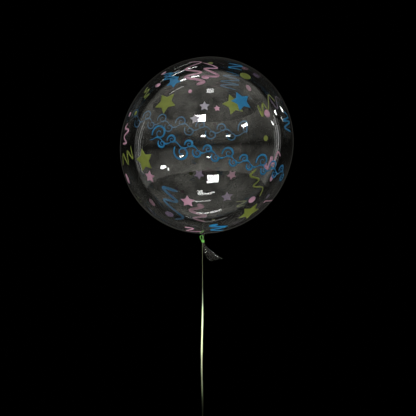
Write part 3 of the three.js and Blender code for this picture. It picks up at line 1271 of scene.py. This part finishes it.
@dataclass
class RibbonKnots:
    """The two tied ends of the ribbon: the tie round the neck, and the loop at its foot.

    The eye is the small loop that stands up beside the neck, and the cut is the end that hangs below
    the lower knot. Angles are in degrees.
    """

    neck: Vector = field(default_factory=lambda: Vector((2.0, 0.0, 589.4)) * MM)
    tied_radius: float = 2.7 * MM
    turns: int = 3
    pitch: float = 2.16 * MM
    knot_turn: float = -115.0
    knot_lean: float = 24.0
    knot_offset: float = 6.58 * MM
    knot_size: Vector = field(default_factory=lambda: Vector((6.4, 5.2, 7.6)) * MM)
    eye_width: float = 12.0 * MM
    eye_height: float = 19.0 * MM
    eye_turn: float = -40.0
    eye_lean: float = 11.0
    end_width: float = 11.6 * MM
    end_height: float = 20.4 * MM
    end_knot_z: float = 21.9 * MM
    end_knot_lean: float = 20.0
    end_knot_size: Vector = field(default_factory=lambda: Vector((7.4, 6.4, 6.2)) * MM)
    cut_length: float = 16.0 * MM
    cut_turn: float = 38.0
    cut_from: float = 1.5 * MM
    cut_steps: int = 16
    end_steps: int = 56
    wrap_width: float = 3.6 * MM
    wrap_wave: float = 0.12 * MM
    round_steps: int = 32
    wrap_steps: int = 30
    core_share: float = 0.84
    turn_share: float = 0.42
    turn_reach: float = 0.47
    turn_rise: float = 0.012
    turn_step: float = 12.0
    crossing: float = 82.0
    knot_thickness: float = 0.5 * MM
    wrap_thickness: float = 0.45 * MM
    loop_thickness: float = 0.4 * MM
    loop_steps: int = 48
    loop_wave: float = 0.35 * MM

    def knot(self, bm: bmesh.types.BMesh, centre: Vector, size: Vector, lean: float) -> None:
        """Adds a pulled knot: a core with three turns of ribbon over it.

        Args:
            bm: the mesh it is added to.
            centre: its middle.
            size: its width, depth and height.
            lean: degrees that its turns lean.
        """
        run = bm.loops.layers.uv.get("run") or bm.loops.layers.uv.new("run")
        core = bmesh.ops.create_uvsphere(bm, u_segments=24, v_segments=14, radius=0.5)["verts"]
        for vert in core:
            for loop in vert.link_loops:
                loop[run].uv = (0.5 + vert.co.z, vert.co.x)
            vert.co = centre + vert.co * size * self.core_share
        for way, tilt in enumerate((lean, -lean, self.crossing)):
            turned = Matrix.Rotation(math.radians(self.turn_step * way), 3, "X")
            turn = Matrix.Rotation(math.radians(tilt), 3, "Y") @ turned
            reach = self.turn_reach + self.turn_rise * way
            line, wides = [], []
            for k in range(self.round_steps + 1):
                angle = 2.0 * math.pi * k / self.round_steps
                round_it = Vector((math.cos(angle) * size.x, math.sin(angle) * size.y, 0.0)) * reach
                if way == 2:  # the crossing turn goes over the knot's height
                    round_it.x *= size.z / size.x
                line.append(centre + turn @ round_it)
                wides.append(turn @ UP)
            Band(width=size.z * self.turn_share, thickness=self.knot_thickness).sweep(bm, line, wides)

    def build_tie(self, material: bpy.types.Material) -> bpy.types.Object:
        """Builds the wound turns, their knot, and the loop that stands up beside the neck.

        Args:
            material: its finish.

        Returns:
            The piece.
        """
        bm = bmesh.new()
        line = []
        for k in range(self.wrap_steps * self.turns + 1):
            angle = math.radians(self.knot_turn) + 2.0 * math.pi * k / self.wrap_steps
            radius = self.tied_radius + self.wrap_thickness + self.wrap_wave * math.sin(3.1 * angle)
            height = self.pitch * (k / self.wrap_steps - self.turns / 2.0)
            line.append(self.neck + Vector((radius * math.cos(angle), radius * math.sin(angle), height)))
        Band(width=self.wrap_width, thickness=self.wrap_thickness).sweep(bm, line, [UP] * len(line))
        away = Matrix.Rotation(math.radians(self.knot_turn), 3, "Z") @ Vector((self.knot_offset, 0.0, 0.0))
        self.knot(bm, self.neck + away, self.knot_size, self.knot_lean)
        leaned = Matrix.Rotation(math.radians(-self.eye_lean), 3, "Y")
        pose = leaned @ Matrix.Rotation(math.radians(self.eye_turn), 3, "Z")
        upright = []
        for k, place in enumerate(drop_line(self.eye_width, self.eye_height, self.loop_steps)):
            wave = self.loop_wave * math.sin(k / 4.0)
            upright.append(self.neck + away + pose @ Vector((place.x, wave, -place.z)))
        Band(thickness=self.loop_thickness).sweep(bm, upright, [pose @ AWAY] * len(upright))
        piece = as_object("tie_wraps", bm, [material])
        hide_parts("ribbon_tie")
        return piece

    def build_end(self, material: bpy.types.Material) -> bpy.types.Object:
        """Builds the loop that a hook holds, its knot and its cut end.

        Args:
            material: its finish.

        Returns:
            The piece.
        """
        bm = bmesh.new()
        tip = UP * (self.end_height - self.loop_thickness)
        hang = [tip + place for place in drop_line(self.end_width, self.end_height, self.end_steps)]
        Band(thickness=self.wrap_thickness).sweep(bm, hang, [AWAY] * len(hang))
        centre = UP * self.end_knot_z
        self.knot(bm, centre, self.end_knot_size, self.end_knot_lean)
        sine, cosine = math.sin(math.radians(self.cut_turn)), math.cos(math.radians(self.cut_turn))
        start = centre + Vector((self.cut_from, 0.0, 0.0))
        along = Vector((sine, 0.0, -cosine)) * self.cut_length
        cut = [start + along * (k / self.cut_steps) for k in range(self.cut_steps + 1)]
        Band(thickness=self.loop_thickness).sweep(bm, cut, [Vector((cosine, 0.0, sine))] * len(cut))
        piece = as_object("ribbon_end_tied", bm, [material])
        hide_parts("ribbon_end_loop")
        return piece


# The studio ---------------------------------------------------------------------------------------


@dataclass(frozen=True)
class Lamp:
    """A rectangular lamp far off, by its direction from the balloon, its size and its roll in degrees."""

    name: str
    azimuth: float
    elevation: float
    wide: float
    tall: float
    radiance: float
    roll: float = 0.0
    mirror: Mirror = Mirror.BOTH


# The lamps of the photographed room, each where the film mirrors it
LAMPS = (
    Lamp("panel_high", -10.4, 32.3, 12.6, 8.6, 17.0, 3.0, Mirror.FRONT),
    Lamp("panel_right", 52.0, 19.7, 8.4, 3.4, 17.0, 14.0, Mirror.FRONT),
    Lamp("panel_low", -4.6, 10.1, 6.1, 2.2, 10.0, -1.0, Mirror.FRONT),
    Lamp("panel_low_right", 26.8, 8.9, 6.0, 2.0, 10.0, -1.0, Mirror.FRONT),
    Lamp("ceiling_near", 4.6, 70.7, 7.7, 6.2, 3.6, -5.0, Mirror.FRONT),
    Lamp("strip_low", -120.1, 68.9, 19.3, 2.8, 7.0, -68.0, Mirror.FRONT),
    Lamp("strip_high", -152.5, 53.7, 16.3, 1.3, 4.0, -28.0, Mirror.FRONT),
    Lamp("strip_thin", -89.3, 59.0, 15.3, 0.8, 2.2, 81.0, Mirror.FRONT),
    Lamp("strip_far", -164.3, 38.8, 8.9, 1.0, 0.9, -3.0, Mirror.FRONT),
    Lamp("strip_left", -147.0, 44.0, 13.0, 0.8, 1.4, -34.0, Mirror.FRONT),
    Lamp("bar_1", 115.5, 21.9, 3.4, 4.0, 8.0, 72.0, Mirror.FRONT),
    Lamp("bar_2", 137.1, 17.5, 3.6, 2.0, 6.0, -57.0, Mirror.FRONT),
    Lamp("bar_3", 99.9, 16.3, 4.8, 2.1, 7.0, -58.0, Mirror.FRONT),
    Lamp("bar_4", 126.4, 14.6, 3.2, 2.1, 2.0, -66.0, Mirror.FRONT),
    Lamp("back_high", -13.4, 44.4, 14.9, 10.6, 14.0, 6.0, Mirror.BACK),
    Lamp("back_right", 66.1, 21.9, 8.6, 3.7, 16.0, 8.0, Mirror.BACK),
    Lamp("back_right_small", 58.5, 25.2, 3.7, 2.7, 7.0, 75.0, Mirror.BACK),
    Lamp("back_low", -3.6, 14.9, 7.0, 1.9, 14.0, 2.0, Mirror.BACK),
    Lamp("back_low_right", 35.2, 11.5, 6.4, 1.7, 14.0, 9.0, Mirror.BACK),
    Lamp("back_ceiling", 12.7, 64.7, 6.2, 7.0, 5.0, -4.0, Mirror.BACK),
    Lamp("back_band", -11.6, 66.2, 13.2, 2.8, 5.0, 18.0, Mirror.BACK),
    Lamp("back_thin_1", 13.0, 79.1, 19.3, 1.9, 3.0, -5.0, Mirror.BACK),
    Lamp("back_thin_2", -159.1, 77.9, 22.0, 2.6, 4.5, -16.0, Mirror.BACK),
    Lamp("back_thin_3", 165.4, 66.3, 15.8, 1.3, 1.6, 29.0, Mirror.BACK),
    Lamp("back_thin_4", -164.8, 57.2, 14.6, 1.7, 0.8, -12.0, Mirror.BACK),
    Lamp("wall_1", 99.5, 0.0, 1.0, 20.0, 0.35, 0.0),
    Lamp("wall_2", 104.0, 0.5, 2.2, 36.0, 0.75, 0.0),
    Lamp("wall_3", 108.0, 0.5, 2.6, 42.0, 0.95, 0.0),
    Lamp("wall_4", 112.5, 0.5, 1.2, 34.0, 0.5, 0.0),
    Lamp("wall_left", -108.0, 2.0, 1.2, 40.0, 0.4, 0.0),
)


@dataclass(frozen=True)
class Beam:
    """A soft round beam that never mirrors, in metres, with its cone in degrees and its light at the aim."""

    name: str
    place: Place
    aim: Place
    cone: float
    light: float
    blend: float = 0.6
    radius: float = 0.08


BEAMS = (
    Beam("beam_high", (0.2, -2.3, 1.9), (0.01, 0.0, 0.96), 17.0, 1.3, 0.25),
    Beam("beam_low", (0.0, -0.4, -0.4), (0.01, 0.0, 0.88), 26.0, 1.6),
    Beam("beam_left", (-2.4, -0.7, 1.0), (0.0, 0.0, 0.9), 13.5, 0.9),
    Beam("beam_right", (2.4, -0.7, 0.8), (0.0, 0.0, 0.9), 13.5, 0.35),
    Beam("beam_behind", (0.5, 2.6, 1.2), (0.0, 0.0, 0.75), 26.0, 2.2),
    Beam("beam_ribbon", (-0.5, -2.6, 0.75), (0.0, 0.0, 0.302), 7.8, 9.6, 0.9),
    Beam("beam_tie", (-0.4, -2.6, 0.8), (0.0, 0.0, 0.574), 2.0, 2.0, 1.0, 0.005),
)


@dataclass(frozen=True)
class Sparkle:
    """A small lamp close under the tail, which glints in its folds: its place, size and radiance."""

    name: str
    place: Place
    size: Span
    radiance: float


SPARKLES = (
    Sparkle("sparkle_left", (-0.028, -0.213, 0.390), (0.06, 0.022), 16.0),
    Sparkle("sparkle_right", (0.132, -0.204, 0.400), (0.035, 0.015), 3.0),
    Sparkle("sparkle_wide", (0.044, -0.216, 0.383), (0.18, 0.05), 2.2),
)


@dataclass
class Studio:
    """Floor, lamps, dark surroundings and camera."""

    middle: Vector
    throw: float = 6.5
    camera_place: Place = (0.0174, -8.0, 0.6961)
    field_width: float = 1.3395
    sensor_width: float = 36.0
    floor_z: float = -0.5
    floor_radius: float = 2.2
    floor_light: float = 1.0
    floor_lamp_z: float = -0.12
    tail: Place = (0.03, 0.0, 0.545)
    first_image: tuple[str, str, float] = ("Glossy Depth", "LESS_THAN", 1.5)
    close_by: tuple[str, str, float] = ("Ray Length", "LESS_THAN", 0.30)
    beams: list[bpy.types.Object] = field(default_factory=list)

    def towards(self, azimuth: float, elevation: float) -> Vector:
        """A direction as seen from the balloon.

        Args:
            azimuth: degrees from the front towards the right.
            elevation: degrees up.

        Returns:
            The direction.
        """
        around, above = math.radians(azimuth), math.radians(elevation)
        level = Vector((math.sin(around), -math.cos(around), 0.0)) * math.cos(above)
        return level + UP * math.sin(above)

    def area(self, name: str, place: Vector, turn: Matrix, size: Span, radiance: float) -> bpy.types.Object:
        """Adds a rectangular area lamp.

        Args:
            name: the lamp's name.
            place: its middle.
            turn: its rotation, with the light along its own -Z.
            size: its width and height.
            radiance: how bright its face is.

        Returns:
            The lamp, which the camera doesn't see.
        """
        data = bpy.data.lights.new(name, "AREA")
        data.shape = "RECTANGLE"
        data.size, data.size_y = size
        data.energy = radiance * 4.0 * size[0] * size[1]
        lamp = bpy.data.objects.new(name, data)
        lamp.matrix_world = Matrix.Translation(place) @ turn.to_4x4()
        lamp.visible_camera = False
        bpy.context.scene.collection.objects.link(lamp)
        return lamp

    def aimed(self, direction: Vector, along: Vector) -> Matrix:
        """A rotation whose Z points along a direction and whose X is nearest to another."""
        across = (along - direction * along.dot(direction)).normalized()
        return Matrix((across, direction.cross(across), direction)).transposed()

    def gate(self, lamp: bpy.types.Object, *tests: tuple[str, str, float]) -> None:
        """Keeps a lamp to mirrors, and opens it only to light whose path passes every test.

        Args:
            lamp: the lamp.
            tests: for each, an output of the Light Path node, the kind of comparison and its limit.
        """
        lamp.visible_diffuse = False
        lamp.data.use_nodes = True
        graph = Graph(lamp.data.node_tree)
        path = graph.add("ShaderNodeLightPath")
        passed = [graph.math(kind, path.outputs[measure], limit) for measure, kind, limit in tests]
        is_open = functools.reduce(functools.partial(graph.math, "MULTIPLY"), passed)
        graph.feed(lamp.data.node_tree.nodes["Emission"].inputs["Strength"], is_open)

    def light(self) -> None:
        """Places the lamps that only mirror in the film, the beams that only light, and the floor's lamp."""
        for lamp in LAMPS:
            out = self.towards(lamp.azimuth, lamp.elevation)
            along = Matrix.Rotation(math.radians(lamp.roll), 3, out) @ UP.cross(out).normalized()
            halves = (math.radians(lamp.wide) / 2.0, math.radians(lamp.tall) / 2.0)
            size = tuple(2.0 * self.throw * math.tan(half) for half in halves)
            place, turn = self.middle + out * self.throw, self.aimed(out, along)
            far = self.area(lamp.name, place, turn, size, lamp.radiance)
            self.gate(far, ("Transmission Depth", *lamp.mirror.value), self.first_image)
        for lamp in SPARKLES:
            place = Vector(lamp.place)
            away = (place - Vector(self.tail)).normalized()
            near = self.area(lamp.name, place, self.aimed(away, UP.cross(away)), lamp.size, lamp.radiance)
            self.gate(near, ("Transmission Depth", *Mirror.FRONT.value), self.close_by)
        for beam in BEAMS:
            self.spot(beam)
        place, size = Vector((0.0, 0.0, self.floor_lamp_z)), (2.0 * self.floor_radius,) * 2
        below = self.area("floor_lamp", place, Matrix.Identity(3), size, self.floor_light)
        below.visible_glossy = below.visible_transmission = False

    def spot(self, beam: Beam) -> None:
        """Adds a beam.

        Args:
            beam: its place, aim and light.
        """
        place, aim = Vector(beam.place), Vector(beam.aim)
        data = bpy.data.lights.new(beam.name, "SPOT")
        data.energy = beam.light * 4.0 * math.pi * (aim - place).length_squared
        data.spot_size = math.radians(beam.cone)
        data.spot_blend = beam.blend
        data.shadow_soft_size = beam.radius
        lamp = bpy.data.objects.new(beam.name, data)
        turn = (place - aim).to_track_quat("Z", "Y").to_matrix()
        lamp.matrix_world = Matrix.Translation(place) @ turn.to_4x4()
        lamp.visible_glossy = lamp.visible_transmission = lamp.visible_camera = False
        bpy.context.scene.collection.objects.link(lamp)
        self.beams.append(lamp)

    def shine_through(self, blockers: list[bpy.types.Object]) -> None:
        """Lets the beams pass the clear film.

        Args:
            blockers: the only pieces that shade the beams.
        """
        shades = bpy.data.collections.new("shades")
        for piece in blockers:
            shades.objects.link(piece)
        for lamp in self.beams:
            lamp.light_linking.blocker_collection = shades

    def floor(self) -> None:
        """Lays the pale floor under the balloon, below the camera's view."""
        bm = bmesh.new()
        bmesh.ops.create_circle(bm, cap_ends=True, segments=96, radius=self.floor_radius)
        mesh = bpy.data.meshes.new("floor")
        bm.to_mesh(mesh)
        bm.free()
        mesh.materials.append(PaleFloor().material())
        floor = bpy.data.objects.new("floor", mesh)
        floor.location = (0.0, 0.0, self.floor_z)
        bpy.context.scene.collection.objects.link(floor)
        floor.visible_diffuse = False

    def camera(self) -> None:
        """Places the camera level, as the photograph was taken."""
        data = bpy.data.cameras.new("camera")
        data.sensor_width = self.sensor_width
        data.lens = self.sensor_width * -self.camera_place[1] / self.field_width
        camera = bpy.data.objects.new("camera", data)
        camera.location = self.camera_place
        camera.rotation_euler = (math.pi / 2.0, 0.0, 0.0)
        bpy.context.scene.collection.objects.link(camera)
        bpy.context.scene.camera = camera

    def build(self) -> None:
        """Sets the whole studio."""
        scene = bpy.context.scene
        self.camera()
        scene.world = DimRoom().world()
        self.floor()
        self.light()
        scene.view_settings.view_transform = "Standard"
        scene.cycles.sample_clamp_indirect = 0.0


def main() -> None:
    """Builds and dresses each part in order."""
    logging.basicConfig(level=logging.INFO, format="%(message)s")
    grain, ribs = grain_group(), ribs_group()
    film = BalloonFilm()
    studio = Studio(middle=film.centre)
    studio.build()
    # One ribbon in two colours: the run's paler green is the ribbon as lit, and the tie's deeper, more
    # saturated green is painted shade and back-light at the neck.
    satin = SatinRibbon("ribbon_satin", (0.62, 0.71, 0.42), (0.45, 0.53, 0.27)).material(ribs)
    tie_painted_shade = SatinRibbon("ribbon_tied_painted_shade", (0.24, 0.66, 0.13), (0.10, 0.40, 0.06), coat=0.9).material(ribs)
    # each ink's inner-face share is partly painted shade on the far half's prints; lilac gives its own
    inks = {
        Ink.BLUE: PrintedInk("ink_blue", (0.025, 0.26, 0.52), (0.016, 0.19, 0.40)),
        Ink.PINK: PrintedInk("ink_pink", (0.74, 0.43, 0.55), (0.62, 0.30, 0.41)),
        Ink.LIME: PrintedInk("ink_lime", (0.26, 0.31, 0.06), (0.19, 0.23, 0.045)),
        Ink.LILAC: PrintedInk("ink_lilac", (0.54, 0.51, 0.57), (0.40, 0.37, 0.43), (0.44, 0.33, 0.48)),
    }
    ribbon = CurlingRibbon()
    run = ribbon.build(satin)
    knots = RibbonKnots()
    tie = knots.build_tie(tie_painted_shade)
    end = knots.build_end(satin)
    line = ribbon.line()
    printed = {ink: finish.pair(grain) for ink, finish in inks.items()}
    pieces = [film.build(ClearFilm().material()), *Print(film).build(printed)]
    studio.shine_through([run, tie, end])
    for piece in (run, tie, end, *pieces):
        log.info("%s: %d faces", piece.name, len(piece.data.polygons))


if __name__ == "__main__":
    main()
